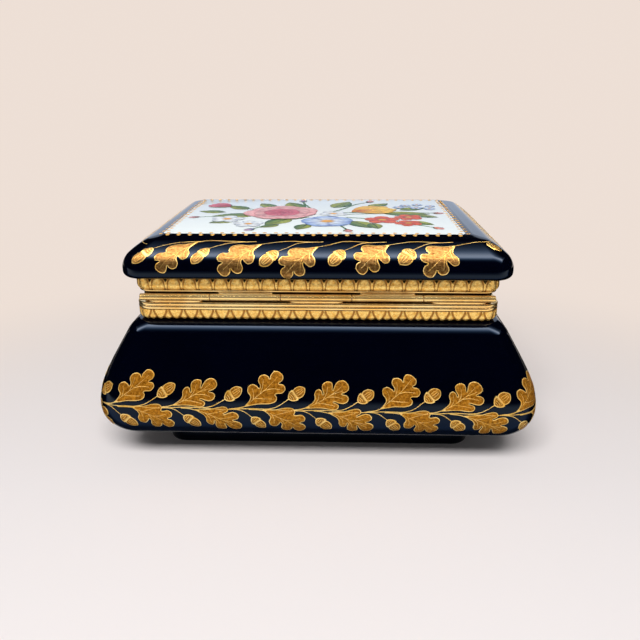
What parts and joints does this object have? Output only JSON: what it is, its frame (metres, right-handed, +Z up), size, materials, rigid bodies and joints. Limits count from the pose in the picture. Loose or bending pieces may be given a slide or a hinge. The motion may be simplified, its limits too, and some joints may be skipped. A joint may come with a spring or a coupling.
{
  "type": "jewelry box",
  "caption": "Glazed porcelain jewelry box on a recessed foot, with gilt-brass leaf mounts, a knuckle hinge along the back and a spring clasp on the front.",
  "frame": {"origin": "centre of the foot's underside, on the surface the box stands on", "axes": "+X to the right seen from the clasp side, +Y from the clasp to the hinge, +Z up"},
  "size_m": [0.148, 0.114, 0.0769],
  "materials": {
    "cobalt_glaze": "glossy cobalt-blue glaze, white inside",
    "gilt_brass": "gilt, stamped and polished",
    "bedding_plaster": "matt plaster",
    "pin_steel": "drawn wire"
  },
  "bodies": {
    "base": {"base_body": "cobalt_glaze", "base_bedding": "bedding_plaster", "base_bezel": "gilt_brass", "base_gallery": "gilt_brass", "base_moulding": "gilt_brass", "hinge_tube_base_left": "gilt_brass", "hinge_tube_base_middle": "gilt_brass", "hinge_tube_base_right": "gilt_brass", "hinge_bearer_base_left": "gilt_brass", "hinge_bearer_base_middle": "gilt_brass", "hinge_bearer_base_right": "gilt_brass", "hinge_pin": "pin_steel", "clasp_stud": "gilt_brass"},
    "lid": {"lid_body": "cobalt_glaze", "lid_bedding": "bedding_plaster", "lid_bezel": "gilt_brass", "lid_gallery": "gilt_brass", "lid_bead": "gilt_brass", "hinge_tube_lid_left": "gilt_brass", "hinge_tube_lid_right": "gilt_brass", "hinge_bearer_lid_left": "gilt_brass", "hinge_bearer_lid_right": "gilt_brass", "clasp_tongue": "gilt_brass", "clasp_rivet_left": "gilt_brass", "clasp_rivet_right": "gilt_brass"}
  },
  "joints": [
    {"name": "lid_hinge", "type": "hinge", "parent": "base", "child": "lid", "pos_m": [0, 0.0429, 0.05735], "axis": [-1, 0, 0], "range_deg": [0, 100]}
  ]
}
